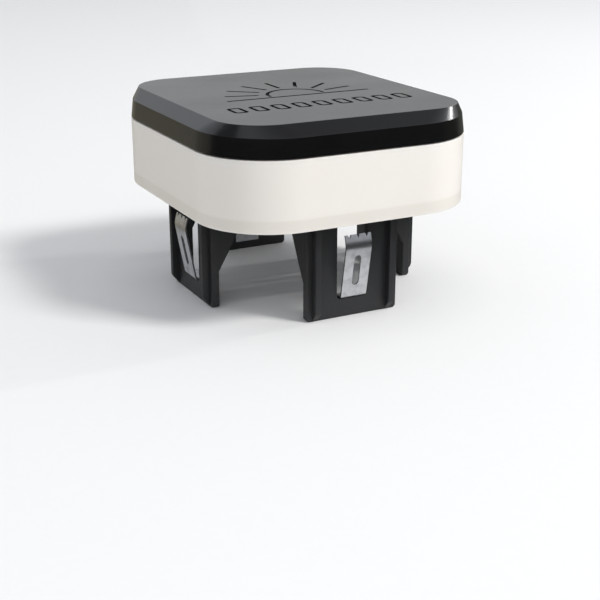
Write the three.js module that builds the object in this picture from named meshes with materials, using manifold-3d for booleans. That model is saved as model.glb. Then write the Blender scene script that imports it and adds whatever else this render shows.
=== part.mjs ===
import * as THREE from 'three';
import { mergeVertices } from 'three/addons/utils/BufferGeometryUtils.js';
import Module from 'manifold-3d';

// A lit cap for a rectangular fence post. A black lid covers a glowing ring, and four legs with
// spring clips hold the cap in the hollow post. Millimetres, +Z up. The origin is the centre of
// the face that rests on the post's end, X runs across the cap's narrow width and Y along its depth.

// Cap outline and heights
const CAP_WIDTH = 90.5;
const CAP_DEPTH = 99;
const CAP_CORNER = 24.4;
const RING_EDGE_BEVEL = 0.4;
const SKIRT_DROP = 4;             // the ring's lower edge hangs this far below the post's end
const RING_HEIGHT = 22;
const LID_SIDE_HEIGHT = 6.1;
const LID_DRAFT = 0.64;           // the lid's side leans in by this much
const LID_CHAMFER_HEIGHT = 3.5;
const LID_TOP_INSET = 4.3;
const LID_TOP_CORNER = 14.9;
const POST_WIDTH = 83;
const POST_DEPTH = 91.5;
const POST_WALL = 2;

// Walls, gaps and fineness
const GAP = 0.3;                  // between pieces that touch
const SOLDER_GAP = 0.1;           // between the circuit board and what is soldered to it
const LID_WALL = 2.5;
const RING_WALL = 3;
const OUTLINE_STEPS = 4;          // each rounded corner has twice this many flats
const ROUND_SIDES = 16;

// Carrier and spigot
const PLATE_THICKNESS = 3;
const UNDERSIDE_RELIEF = 0.6;     // the plate's middle stays clear of the post
const SEAT_BAND = 4;
const CENTRE_PAD_RADIUS = 4;
const SPIGOT_CLEARANCE = 0.4;     // between the locating ribs and the post's inner walls
const LEG = { length: 36, thickness: 2.6, width: 32, ribHeight: 2.3, ribWidth: 2, ribPlace: 13 };
const WINDOW = { width: 11, bottom: -30, top: -5 };
const GUSSET = { reach: 12, height: 24, thickness: 2 };

// Retaining clips
const CLIP = { width: 9, thickness: 0.6, pivotHeight: -29.4, bulge: 1.5 };

// Ledge, sockets, standoffs and where they stand
const LEDGE = { width: 4.6, thickness: 2 };
const LEDGE_SCREW = { x: 34.6, y: 24, tabRadius: 4.2, bossRadius: 3, bossDepth: 6 };
const PEG = { x: 32.8, y: 15, radius: 1.8, tip: 8.5 };
const BUSH = { inner: 2.1, outer: 3, flange: 3.9, flangeHeight: 1 };
const SOCKET = { inner: 3.3, outer: 4.3, floor: 7, top: 15 };
const BOARD_SCREW = { x: 16.5, y: 20, standoffRadius: 3.4 };
const SCREW = { shaft: 1.3, hole: 1.7, head: 2.8, headHeight: 1.8 };
const CROSS_RECESS = { length: 3.3, width: 0.8, depth: 1 };

// Circuit board and reflector
const BOARD = { width: 56, depth: 64, corner: 8, thickness: 1.6 };
const LED_SIZE = { width: 2.8, length: 3.5, height: 0.75 };
const LED_PLACES = [
  [-25, -24], [-25, 0], [-25, 24], [25, -24], [25, 0], [25, 24],
  [-14, -29], [0, -29], [14, -29], [-14, 29], [0, 29], [14, 29],
];
const CABLE_HOLE = { y: -15, radius: 9 };
const REFLECTOR = { floorX: 21, floorY: 25, topX: 27.5, topY: 32, height: 8.6, wall: 1.2 };
const REFLECTOR_WINDOW = { width: 26, depth: 30 };
const TERMINAL = { y: 8, width: 10, depth: 8, height: 8.5, pitch: 5 };

// Cable gland
const GLAND = { neck: 5.85, neckTop: 7, bore: 3.6, hexFlats: 15, flangeHeight: 5 };
const GLAND_CAP = { length: 9.5, exit: 3.4, inner: 5.5, endWall: 1.5, domeHeight: 3 };
const GLAND_SEAL = { outer: 4.9, bore: 3 };
const GLAND_TAIL = { radius: 5.2, length: 3.2 };   // the body's lower neck, inside the gland's cap
const WASHER = { outer: 8, height: 1.2 };

// Ornament on the lid's top face
const ORNAMENT = { depth: 0.8, line: 1.1, horizon: 50, sunY: -3, sunRadius: 9.5 };
const RAYS = { count: 7, start: 13, end: 23, first: 15, last: 165 };
const FRIEZE = { marks: 9, pitch: 7.2, width: 4.8, height: 8, y: -20.5 };

// Levels that follow from the dimensions above
const RING_BOTTOM = -SKIRT_DROP;
const PARTING = RING_BOTTOM + RING_HEIGHT;
const RING_TOP = PARTING - GAP / 2;
const LID_BOTTOM = PARTING + GAP / 2;
const LID_SHOULDER = PARTING + LID_SIDE_HEIGHT;
const LID_TOP = LID_SHOULDER + LID_CHAMFER_HEIGHT;
const LID_ROOF = LID_TOP - LID_WALL;
const LEDGE_BOTTOM = PLATE_THICKNESS + GAP;
const LEDGE_TOP = LEDGE_BOTTOM + LEDGE.thickness;
const STANDOFF_TOP = 6.2;
const BOARD_BOTTOM = STANDOFF_TOP + GAP;
const BOARD_TOP = BOARD_BOTTOM + BOARD.thickness;
const REFLECTOR_BOTTOM = BOARD_TOP + GAP;
const REFLECTOR_FLOOR = REFLECTOR_BOTTOM + REFLECTOR.wall;
const REACH_X = POST_WIDTH / 2 - POST_WALL - SPIGOT_CLEARANCE;
const REACH_Y = POST_DEPTH / 2 - POST_WALL - SPIGOT_CLEARANCE;

const wasm = await Module();
wasm.setup();

// ---- shape helpers

/** A three.js geometry as a solid that can be joined and cut. */
function solid(geometry) {
  const bare = geometry.index ? geometry.toNonIndexed() : geometry.clone();
  bare.deleteAttribute('normal');
  bare.deleteAttribute('uv');
  const merged = mergeVertices(bare, 1e-4);
  return new wasm.Manifold(new wasm.Mesh({
    numProp: 3,
    vertProperties: new Float32Array(merged.attributes.position.array),
    triVerts: new Uint32Array(merged.index.array),
  }));
}

/** A solid back as a three.js geometry. */
function geometryOf(shape) {
  const mesh = shape.getMesh();
  const geometry = new THREE.BufferGeometry();
  geometry.setAttribute('position', new THREE.BufferAttribute(mesh.vertProperties, 3));
  geometry.setIndex(new THREE.BufferAttribute(mesh.triVerts, 1));
  geometry.computeVertexNormals();
  return geometry;
}

function roundedRectangle(halfX, halfY, corner) {
  const shape = new THREE.Shape();
  const x = halfX - corner;
  const y = halfY - corner;
  shape.absarc(x, y, corner, 0, Math.PI / 2);
  shape.absarc(-x, y, corner, Math.PI / 2, Math.PI);
  shape.absarc(-x, -y, corner, Math.PI, 1.5 * Math.PI);
  shape.absarc(x, -y, corner, 1.5 * Math.PI, 2 * Math.PI);
  shape.closePath();
  return shape;
}

/** The cap's outline moved inwards by inset. */
function capOutline(inset) {
  return roundedRectangle(CAP_WIDTH / 2 - inset, CAP_DEPTH / 2 - inset, CAP_CORNER - inset);
}

/** An outline extruded between two heights. */
function slab(shape, low, high) {
  const options = { depth: high - low, bevelEnabled: false, curveSegments: OUTLINE_STEPS };
  return solid(new THREE.ExtrudeGeometry(shape, options).translate(0, 0, low));
}

function box(sizeX, sizeY, low, high, x = 0, y = 0) {
  const geometry = new THREE.BoxGeometry(sizeX, sizeY, high - low);
  return solid(geometry.translate(x, y, (low + high) / 2));
}

/** An upright cylinder or cone frustum; six sides make a hexagon with flats facing X. */
function cylinder(radius, low, high, x = 0, y = 0, sides = ROUND_SIDES, topRadius = radius) {
  const geometry = new THREE.CylinderGeometry(topRadius, radius, high - low, sides);
  return solid(geometry.rotateX(Math.PI / 2).translate(x, y, (low + high) / 2));
}

/** A body turned about an upright axis at x, y from a profile of [radius, z], lowest first. */
function turning(profile, x, y) {
  const points = profile.map(([radius, z]) => new THREE.Vector2(radius, z));
  const geometry = new THREE.LatheGeometry(points, ROUND_SIDES);
  return solid(geometry.rotateX(Math.PI / 2).translate(x, y, 0));
}

/** A closed body through rounded-rectangle sections [halfX, halfY, corner, z], lowest first. */
function loft(sections) {
  const cornerSteps = 2 * OUTLINE_STEPS;
  const positions = [];
  for (const [halfX, halfY, corner, z] of sections) {
    for (let quarter = 0; quarter < 4; quarter += 1) {
      const signX = quarter === 0 || quarter === 3 ? 1 : -1;
      const signY = quarter < 2 ? 1 : -1;
      for (let step = 0; step <= cornerSteps; step += 1) {
        const angle = (quarter + step / cornerSteps) * Math.PI / 2;
        const x = signX * (halfX - corner) + corner * Math.cos(angle);
        const y = signY * (halfY - corner) + corner * Math.sin(angle);
        positions.push(x, y, z);
      }
    }
  }
  const count = 4 * (cornerSteps + 1);
  const triangles = [];
  for (let level = 0; level < sections.length - 1; level += 1) {
    for (let i = 0; i < count; i += 1) {
      const a = level * count + i;
      const b = level * count + (i + 1) % count;
      triangles.push(a, b, b + count, a, b + count, a + count);
    }
  }
  const last = (sections.length - 1) * count;
  for (let i = 1; i < count - 1; i += 1) {
    triangles.push(0, i + 1, i, last, last + i, last + i + 1);
  }
  const geometry = new THREE.BufferGeometry();
  geometry.setAttribute('position', new THREE.Float32BufferAttribute(positions, 3));
  geometry.setIndex(triangles);
  return solid(geometry);
}

/** The same place in all four quarters of the cap. */
function quarters({ x, y }) {
  return [[x, y], [-x, y], [-x, -y], [x, -y]];
}

/** Turned about Z by whole degrees. */
function turned(shape, degrees) {
  return shape.rotate([0, 0, degrees]);
}

/** A flat shape drawn in the X-Z plane, given a width along Y and centred on y. */
function uprightSlab(shape, width, y = 0) {
  const geometry = new THREE.ExtrudeGeometry(shape, { depth: width, bevelEnabled: false });
  return solid(geometry.rotateX(Math.PI / 2).translate(0, y + width / 2, 0));
}

function polygon(points) {
  return new THREE.Shape(points.map(([x, y]) => new THREE.Vector2(x, y)));
}

/** The outline of a strip of even thickness that follows a line of points. */
function stripOutline(points, thickness) {
  const line = points.map(([x, y]) => new THREE.Vector2(x, y));
  const normals = line.slice(1).map((end, i) => {
    const along = end.clone().sub(line[i]).normalize();
    return new THREE.Vector2(-along.y, along.x);
  });
  const offsets = line.map((_, i) => {
    const before = normals[Math.max(i - 1, 0)];
    const after = normals[Math.min(i, normals.length - 1)];
    const mitre = before.clone().add(after).normalize();
    return mitre.multiplyScalar(thickness / 2 / mitre.dot(before));
  });
  const left = line.map((point, i) => point.clone().add(offsets[i]));
  const right = line.map((point, i) => point.clone().sub(offsets[i]));
  return new THREE.Shape([...right, ...left.reverse()]);
}

function plastic(colour, roughness = 0.5) {
  return new THREE.MeshStandardMaterial({ color: colour, roughness, metalness: 0 });
}

function metal(colour, roughness = 0.35) {
  return new THREE.MeshStandardMaterial({ color: colour, roughness, metalness: 1 });
}

function node(name, shape, material) {
  const mesh = new THREE.Mesh(geometryOf(shape), material);
  mesh.name = name;
  return mesh;
}

// ---- lid

/** A rising half sun over a line, above a row of plain frames. */
function ornament() {
  const low = LID_TOP - ORNAMENT.depth;
  const high = LID_TOP + 1;
  const { line, sunY, sunRadius } = ORNAMENT;
  const half = new THREE.Shape();
  half.absarc(0, sunY, sunRadius, 0, Math.PI);
  half.absarc(0, sunY, sunRadius - line, Math.PI, 0, true);
  half.closePath();
  let cuts = slab(half, low, high).add(box(ORNAMENT.horizon, line, low, high, 0, sunY - 2 * line));
  for (let i = 0; i < RAYS.count; i += 1) {
    const degrees = RAYS.first + i * (RAYS.last - RAYS.first) / (RAYS.count - 1);
    const length = RAYS.end - RAYS.start;
    const ray = box(length, line, low, high, RAYS.start + length / 2, 0);
    cuts = cuts.add(turned(ray, degrees).translate([0, sunY, 0]));
  }
  for (let i = 0; i < FRIEZE.marks; i += 1) {
    const x = (i - (FRIEZE.marks - 1) / 2) * FRIEZE.pitch;
    const frame = box(FRIEZE.width, FRIEZE.height, low, high, x, FRIEZE.y);
    const centre = box(FRIEZE.width - 2 * line, FRIEZE.height - 2 * line, low - 1, high + 1, x, FRIEZE.y);
    cuts = cuts.add(frame.subtract(centre));
  }
  return cuts;
}

function lid() {
  const halfX = CAP_WIDTH / 2;
  const halfY = CAP_DEPTH / 2;
  const shell = loft([
    [halfX, halfY, CAP_CORNER, LID_BOTTOM],
    [halfX - LID_DRAFT, halfY - LID_DRAFT, CAP_CORNER - LID_DRAFT / 2, LID_SHOULDER],
    [halfX - LID_TOP_INSET, halfY - LID_TOP_INSET, LID_TOP_CORNER, LID_TOP],
  ]);
  const lip = slab(capOutline(RING_WALL + GAP), LID_BOTTOM - 3, LID_BOTTOM + 1);
  const hollow = slab(capOutline(RING_WALL + GAP + 2), LID_BOTTOM - 4, LID_ROOF);
  let body = shell.add(lip).subtract(hollow);
  for (const y of [-PEG.y, PEG.y]) {
    body = body.add(box(2 * PEG.x, 1.2, LID_ROOF - 2.5, LID_ROOF + 1, 0, y));
  }
  for (const [x, y] of quarters(PEG)) {
    body = body.add(cylinder(PEG.radius, PEG.tip + 1, LID_ROOF + 1, x, y));
    body = body.add(cylinder(PEG.radius - 0.7, PEG.tip, PEG.tip + 1, x, y, ROUND_SIDES, PEG.radius));
    body = body.add(cylinder(PEG.radius + 1.2, LID_ROOF - 4, LID_ROOF + 1, x, y));
  }
  return body.subtract(ornament());
}

// ---- diffuser and gasket

const REBATE = { inset: 1.4, depth: 1.7 };          // seat for the gasket inside the ring's top edge
const GASKET_WIDTH = 1.1;

function diffuser() {
  const bevel = RING_EDGE_BEVEL;
  const half = (inset) => [CAP_WIDTH / 2 - inset, CAP_DEPTH / 2 - inset, CAP_CORNER - inset];
  let body = loft([
    [...half(bevel), RING_BOTTOM],
    [...half(0), RING_BOTTOM + bevel],
    [...half(0), RING_TOP - bevel],
    [...half(bevel), RING_TOP],
  ]);
  body = body.subtract(slab(capOutline(RING_WALL), RING_BOTTOM - 1, LEDGE_BOTTOM));
  body = body.subtract(slab(capOutline(RING_WALL), LEDGE_TOP, RING_TOP + 1));
  body = body.subtract(slab(capOutline(REBATE.inset), RING_TOP - REBATE.depth, RING_TOP + 1));
  body = body.subtract(slab(capOutline(RING_WALL + LEDGE.width), LEDGE_BOTTOM - 1, LEDGE_TOP + 1));
  for (const [x, y] of quarters(LEDGE_SCREW)) {
    body = body.add(cylinder(LEDGE_SCREW.tabRadius, LEDGE_BOTTOM, LEDGE_TOP, x, y));
    body = body.subtract(cylinder(SCREW.hole, LEDGE_BOTTOM - 1, LEDGE_TOP + 1, x, y));
  }
  return body;
}

function lidGasket() {
  const low = RING_TOP - REBATE.depth + GAP;
  const outer = REBATE.inset + GAP;
  const opening = slab(capOutline(outer + GASKET_WIDTH), low - 1, RING_TOP + 1);
  return slab(capOutline(outer), low, RING_TOP).subtract(opening);
}

// ---- carrier with its four legs

/** One leg on the +X side, whose locating ribs end at reach. */
function leg(reach) {
  const outer = reach - LEG.ribHeight;
  const inner = outer - LEG.thickness;
  const middle = (outer + inner) / 2;
  let body = box(LEG.thickness, LEG.width, -LEG.length, 1, middle, 0);
  for (const side of [-1, 1]) {
    const lead = 2;
    const rib = polygon([
      [outer - 0.5, -LEG.length], [outer, -LEG.length], [reach, -LEG.length + lead + 1],
      [reach, 1], [outer - 0.5, 1],
    ]);
    body = body.add(uprightSlab(rib, LEG.ribWidth, side * LEG.ribPlace));
    const gusset = polygon([
      [inner + 0.5, 1], [inner - GUSSET.reach, 1], [inner - GUSSET.reach, 0],
      [inner, -GUSSET.height], [inner + 0.5, -GUSSET.height],
    ]);
    const place = side * (LEG.width - GUSSET.thickness) / 2;
    body = body.add(uprightSlab(gusset, GUSSET.thickness, place));
  }
  return body.subtract(box(LEG.thickness + 2, WINDOW.width, WINDOW.bottom, WINDOW.top, middle, 0));
}

/** How far each side's leg stands out, and its turn about Z. */
const SIDES = [
  { name: 'right', reach: REACH_X, turn: 0 },
  { name: 'back', reach: REACH_Y, turn: 90 },
  { name: 'left', reach: REACH_X, turn: 180 },
  { name: 'front', reach: REACH_Y, turn: 270 },
];

function carrier() {
  const edge = RING_WALL + GAP;
  let body = slab(capOutline(edge), 0, PLATE_THICKNESS);
  body = body.subtract(slab(capOutline(edge + SEAT_BAND), -1, UNDERSIDE_RELIEF));
  body = body.add(cylinder(CENTRE_PAD_RADIUS, 0, 1));
  for (const { reach, turn } of SIDES) {
    body = body.add(turned(leg(reach), turn));
  }
  for (const [x, y] of quarters(LEDGE_SCREW)) {
    body = body.add(cylinder(LEDGE_SCREW.bossRadius, -LEDGE_SCREW.bossDepth, 1, x, y));
    body = body.subtract(cylinder(SCREW.shaft + GAP, 1 - LEDGE_SCREW.bossDepth, 10, x, y));
  }
  for (const [x, y] of quarters(BOARD_SCREW)) {
    body = body.add(cylinder(BOARD_SCREW.standoffRadius, -2, STANDOFF_TOP, x, y));
    body = body.subtract(cylinder(SCREW.shaft + GAP, -1, STANDOFF_TOP + 1, x, y));
  }
  for (const [x, y] of quarters(PEG)) {
    body = body.add(cylinder(SOCKET.outer, 1, SOCKET.top, x, y));
    body = body.subtract(cylinder(SOCKET.inner, SOCKET.floor, SOCKET.top + 1, x, y));
  }
  return body.subtract(cylinder(GLAND.neck + GAP, -3, 10, 0, CABLE_HOLE.y));
}

/** A bent strip hooked over the lower edge of a leg's window, on the +X side. */
function retainingClip(reach) {
  const hook = CLIP.pivotHeight;
  const line = [
    [reach - 5.9, hook - 3.4],
    [reach - 5.9, hook - 0.4],
    [reach - 5.5, hook],
    [reach - 1.9, hook],
    [reach - 1.5, hook + 0.5],
    [reach + CLIP.bulge, -12],
    [reach + CLIP.bulge - 0.1, -11],
    [reach + CLIP.bulge - 1, -8.6],
  ];
  return uprightSlab(stripOutline(line, CLIP.thickness), CLIP.width);
}

// ---- fasteners and bushes

/** A pan-head screw whose head rests at seat and whose tip is at tip. */
function screw(seat, tip, x, y) {
  const { shaft, head, headHeight } = SCREW;
  const top = seat + headHeight;
  const body = turning([
    [0, tip], [shaft / 2, tip], [shaft, tip + 1], [shaft, seat],
    [head, seat], [head, seat + 0.9], [head * 0.7, top], [0, top],
  ], x, y);
  const { length, width, depth } = CROSS_RECESS;
  const slot = box(length, width, top - depth, top + 1, x, y);
  const crossSlot = box(width, length, top - depth, top + 1, x, y);
  return body.subtract(slot).subtract(crossSlot);
}

function pegBush(x, y) {
  const { inner, outer, flange, flangeHeight } = BUSH;
  const low = SOCKET.floor + GAP;
  const seat = SOCKET.top + GAP;
  const high = seat + flangeHeight;
  return turning([
    [inner, low], [outer, low], [outer, seat], [flange, seat], [flange, high], [inner, high], [inner, low],
  ], x, y);
}

// ---- circuit board, components and reflector

function ledBoard() {
  let body = slab(roundedRectangle(BOARD.width / 2, BOARD.depth / 2, BOARD.corner), BOARD_BOTTOM, BOARD_TOP);
  body = body.subtract(cylinder(CABLE_HOLE.radius, 0, BOARD_TOP + 1, 0, CABLE_HOLE.y));
  for (const [x, y] of quarters(BOARD_SCREW)) {
    body = body.subtract(cylinder(SCREW.hole, 0, BOARD_TOP + 1, x, y));
  }
  return body;
}

/** An LED package, with its long side along the board's nearest edge. */
function led(x, y) {
  const low = BOARD_TOP + SOLDER_GAP;
  const high = low + LED_SIZE.height;
  const onSideEdge = Math.abs(x) > BOARD.width / 2 - 5;
  const [sizeX, sizeY] = onSideEdge ? [LED_SIZE.width, LED_SIZE.length] : [LED_SIZE.length, LED_SIZE.width];
  const cup = cylinder(1.1, high - 0.25, high + 1, x, y);
  return box(sizeX, sizeY, low, high, x, y).subtract(cup);
}

function boardComponent(sizeX, sizeY, height, x, y) {
  const low = BOARD_TOP + SOLDER_GAP;
  return box(sizeX, sizeY, low, low + height, x, y);
}

function smoothingCapacitor(x, y) {
  const low = BOARD_TOP + SOLDER_GAP;
  const can = cylinder(3.15, low + 1, low + 7.4, x, y);
  const shoulder = cylinder(3.15, low + 7.4, low + 8, x, y, ROUND_SIDES, 2.7);
  const foot = box(6.6, 6.6, low, low + 1.2, x, y);
  return can.add(shoulder).add(foot);
}

function terminalBlock() {
  const low = BOARD_TOP + SOLDER_GAP;
  const high = low + TERMINAL.height;
  const front = TERMINAL.y - TERMINAL.depth / 2;
  let body = box(TERMINAL.width, TERMINAL.depth, low, high, 0, TERMINAL.y);
  for (const x of [-TERMINAL.pitch / 2, TERMINAL.pitch / 2]) {
    body = body.subtract(box(3.4, 5, low + 1, low + 4.4, x, front + 1.5));
    body = body.subtract(cylinder(1.9, high - 3.4, high + 1, x, TERMINAL.y + 0.6));
  }
  return body;
}

function terminalScrew(x) {
  const high = BOARD_TOP + SOLDER_GAP + TERMINAL.height - 1;
  const y = TERMINAL.y + 0.6;
  return cylinder(1.6, high - 2, high, x, y).subtract(box(4, 0.6, high - 0.7, high + 1, x, y));
}

function reflector() {
  const top = REFLECTOR_BOTTOM + REFLECTOR.height;
  const { floorX, floorY, topX, topY, wall } = REFLECTOR;
  const lower = 5;
  const upper = 9;
  const dish = loft([[floorX, floorY, lower, REFLECTOR_BOTTOM], [topX, topY, upper, top]]);
  const slope = (topX - floorX) / REFLECTOR.height;
  const inside = loft([
    [floorX - wall + slope * wall, floorY - wall + slope * wall, lower - wall / 2, REFLECTOR_FLOOR],
    [topX - wall + slope, topY - wall + slope, upper - wall / 2, top + 1],
  ]);
  let body = dish.subtract(inside);
  const window = roundedRectangle(REFLECTOR_WINDOW.width / 2, REFLECTOR_WINDOW.depth / 2, 3);
  body = body.subtract(slab(window, 0, REFLECTOR_FLOOR + 1));
  for (const [x, y] of quarters(BOARD_SCREW)) {
    body = body.subtract(cylinder(SCREW.hole, 0, REFLECTOR_FLOOR + 1, x, y));
  }
  return body;
}

// ---- cable gland

const HEX_RADIUS = GLAND.hexFlats / Math.sqrt(3);
const WASHER_BOTTOM = UNDERSIDE_RELIEF - GAP - WASHER.height;
const FLANGE_TOP = WASHER_BOTTOM - GAP;
const FLANGE_BOTTOM = FLANGE_TOP - GLAND.flangeHeight;
const TAIL_END = FLANGE_BOTTOM - GLAND_TAIL.length;
const CAP_TOP = FLANGE_BOTTOM - GAP;
const CAP_END = CAP_TOP - GLAND_CAP.length;

function glandHexagon(low, high) {
  return cylinder(HEX_RADIUS, low, high, 0, CABLE_HOLE.y, 6);
}

/** A tube on the gland's axis. */
function glandTube(inner, outer, low, high) {
  return turning([[inner, low], [outer, low], [outer, high], [inner, high], [inner, low]], 0, CABLE_HOLE.y);
}

function glandBore(radius) {
  return cylinder(radius, CAP_END - 1, GLAND.neckTop + 1, 0, CABLE_HOLE.y);
}

function glandBody() {
  const neck = glandTube(GLAND.bore, GLAND.neck, FLANGE_TOP - 1, GLAND.neckTop);
  const tail = glandTube(GLAND.bore, GLAND_TAIL.radius, TAIL_END, FLANGE_BOTTOM + 1);
  return glandHexagon(FLANGE_BOTTOM, FLANGE_TOP).add(neck).add(tail).subtract(glandBore(GLAND.bore));
}

function glandWasher() {
  return glandTube(GLAND.neck + GAP, WASHER.outer, WASHER_BOTTOM, WASHER_BOTTOM + WASHER.height);
}

function glandLockNut() {
  const low = PLATE_THICKNESS + GAP;
  return glandHexagon(low, low + 2.7).subtract(glandBore(GLAND.neck + GAP));
}

function glandSeal() {
  return glandTube(GLAND_SEAL.bore, GLAND_SEAL.outer, CAP_END + GLAND_CAP.endWall + GAP, TAIL_END - GAP);
}

/** The gland's clamping cap: a hexagon that ends in a short dome round the cable's exit. */
function glandCap() {
  const { exit, inner, endWall, domeHeight } = GLAND_CAP;
  const shoulder = CAP_END + domeHeight;
  const dome = turning([
    [0, CAP_END], [5.6, CAP_END], [6.8, CAP_END + 1], [7.4, shoulder], [0, shoulder],
  ], 0, CABLE_HOLE.y);
  const hollow = cylinder(inner, CAP_END + endWall, CAP_TOP + 1, 0, CABLE_HOLE.y);
  return glandHexagon(shoulder - 0.5, CAP_TOP).add(dome).subtract(hollow).subtract(glandBore(exit));
}

// ---- the whole cap

const black = plastic(0x161719, 0.35);
const darkGrey = plastic(0x2b2d2f, 0.6);
const opal = plastic(0xf2efe8, 0.3);
const white = plastic(0xf4f4f2, 0.4);
const rubber = plastic(0x222222, 0.8);
const steel = metal(0xb9bcc0);
const boardWhite = plastic(0xe9ebe6, 0.45);
const componentBlack = plastic(0x1b1b1c, 0.5);
const phosphor = plastic(0xe8c64a, 0.4);
const terminalGreen = plastic(0x2f7d4a, 0.5);
const aluminium = metal(0xc7c9cb, 0.4);

const postCap = new THREE.Group();
postCap.add(node('lid', lid(), black));
postCap.add(node('lid_gasket', lidGasket(), rubber));
postCap.add(node('diffuser', diffuser(), opal));
postCap.add(node('carrier', carrier(), darkGrey));
for (const { name, reach, turn } of SIDES) {
  postCap.add(node(`retaining_clip_${name}`, turned(retainingClip(reach), turn), steel));
}
postCap.add(node('reflector', reflector(), white));
postCap.add(node('led_board', ledBoard(), boardWhite));
LED_PLACES.forEach(([x, y], i) => {
  postCap.add(node(`led_${String(i + 1).padStart(2, '0')}`, led(x, y), phosphor));
});
quarters(PEG).forEach(([x, y], i) => {
  postCap.add(node(`peg_bush_${i + 1}`, pegBush(x, y), rubber));
});
quarters(LEDGE_SCREW).forEach(([x, y], i) => {
  postCap.add(node(`diffuser_screw_${i + 1}`, screw(LEDGE_TOP + GAP, -4, x, y), steel));
});
quarters(BOARD_SCREW).forEach(([x, y], i) => {
  postCap.add(node(`board_screw_${i + 1}`, screw(REFLECTOR_FLOOR + GAP, 0, x, y), steel));
});
postCap.add(node('terminal_block', terminalBlock(), terminalGreen));
postCap.add(node('terminal_screw_1', terminalScrew(-TERMINAL.pitch / 2), steel));
postCap.add(node('terminal_screw_2', terminalScrew(TERMINAL.pitch / 2), steel));
postCap.add(node('rectifier', boardComponent(4.7, 3.9, 2.4, 8.6, -2), componentBlack));
postCap.add(node('smoothing_capacitor', smoothingCapacitor(-8.4, -1), aluminium));
[[9.5, 5.5], [9.5, 9], [-9.5, 5.5], [-9.5, 9]].forEach(([x, y], i) => {
  postCap.add(node(`resistor_${i + 1}`, boardComponent(3.2, 1.6, 0.6, x, y), componentBlack));
});
postCap.add(node('gland_body', glandBody(), componentBlack));
postCap.add(node('gland_washer', glandWasher(), rubber));
postCap.add(node('gland_lock_nut', glandLockNut(), componentBlack));
postCap.add(node('gland_seal', glandSeal(), rubber));
postCap.add(node('gland_cap', glandCap(), componentBlack));

export default postCap;
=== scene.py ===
"""A lit cap for a rectangular fence post: black lid, opal ring, and a legged carrier with spring clips."""
from math import atan2, copysign, cos, pi, radians, sin, sqrt
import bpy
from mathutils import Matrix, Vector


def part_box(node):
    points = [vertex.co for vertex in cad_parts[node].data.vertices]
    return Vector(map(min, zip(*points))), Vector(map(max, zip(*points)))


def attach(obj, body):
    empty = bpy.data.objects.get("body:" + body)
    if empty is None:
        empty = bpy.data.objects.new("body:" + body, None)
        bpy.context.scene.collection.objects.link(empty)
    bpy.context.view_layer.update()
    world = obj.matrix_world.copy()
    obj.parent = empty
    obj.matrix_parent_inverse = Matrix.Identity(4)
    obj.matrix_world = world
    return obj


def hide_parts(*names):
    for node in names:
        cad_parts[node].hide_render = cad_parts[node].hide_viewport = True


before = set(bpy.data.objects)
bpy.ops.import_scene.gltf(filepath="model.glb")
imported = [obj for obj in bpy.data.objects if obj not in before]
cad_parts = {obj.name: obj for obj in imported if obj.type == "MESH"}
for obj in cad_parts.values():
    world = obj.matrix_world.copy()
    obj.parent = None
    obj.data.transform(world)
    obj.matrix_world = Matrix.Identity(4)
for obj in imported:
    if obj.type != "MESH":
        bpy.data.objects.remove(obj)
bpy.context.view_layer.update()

from types import SimpleNamespace as Table

import bmesh
import bpy
from mathutils import Matrix, Vector

MM = 0.001


def mm(**measures):
    """A table of measures given in millimetres."""
    return Table(**{name: value * MM for name, value in measures.items()})


# ---- measures taken from the frame, in metres

LID_LOW, LID_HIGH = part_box("lid")
RING_LOW, RING_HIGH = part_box("diffuser")
CARRIER_LOW, CARRIER_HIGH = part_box("carrier")
BOARD_LOW, BOARD_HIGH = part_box("led_board")
DISH_LOW, DISH_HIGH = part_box("reflector")

HALF_X = RING_HIGH.x
HALF_Y = RING_HIGH.y
RING_TOP = RING_HIGH.z
LID_TOP = LID_HIGH.z
CABLE_Y = (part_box("gland_body")[0].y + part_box("gland_body")[1].y) / 2

# ---- measures that several pieces share and the frame's boxes don't give

CORNER = 24.4 * MM  # the outline's corner radius at the ring
GAP = 0.3 * MM  # between pieces that rest on each other
PLATE_TOP = 3 * MM
LID_BOTTOM = RING_TOP + GAP
RING_WALL = 3 * MM
LEDGE_BOTTOM = PLATE_TOP + GAP
LEDGE_TOP = LEDGE_BOTTOM + 2 * MM
LEDGE_SCREW = (34.6 * MM, 24 * MM)
PEG = (32.8 * MM, 15 * MM)
BOARD_SCREW = (16.5 * MM, 20 * MM)
CLEARANCE_RADIUS = 1.7 * MM  # of a hole that a screw passes through
PILOT_RADIUS = 1.6 * MM  # of a hole that a screw bites into
OVERRUN = 1 * MM  # how far a cutter passes a face, or a joined piece enters its neighbour

CORNER_STEPS = 20  # flats on each rounded corner of the outlines
ROUND_SIDES = 40
ROUNDING_STEPS = 4  # points on each softened edge
LONGEST_ROUNDING = 0.48  # share of a side that a corner's rounding may take
SMALLEST_CORNER = 1e-5
SHARP_ANGLE = radians(32)
WELD_DISTANCE = 1e-6


# ---- mesh helpers

def weld_points(bm):
    """Merges points that coincide but for rounding, and drops the slivers between them."""
    bmesh.ops.remove_doubles(bm, verts=bm.verts, dist=WELD_DISTANCE)
    bmesh.ops.dissolve_degenerate(bm, edges=bm.edges, dist=WELD_DISTANCE)


def add_object(name, data):
    obj = bpy.data.objects.new(name, data)
    bpy.context.scene.collection.objects.link(obj)
    return obj


def finish_mesh(bm, name):
    """Welds, turns the faces outwards and hands back an object that is in the scene."""
    weld_points(bm)
    bmesh.ops.recalc_face_normals(bm, faces=bm.faces)
    mesh = bpy.data.meshes.new(name)
    bm.to_mesh(mesh)
    bm.free()
    return add_object(name, mesh)


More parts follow.
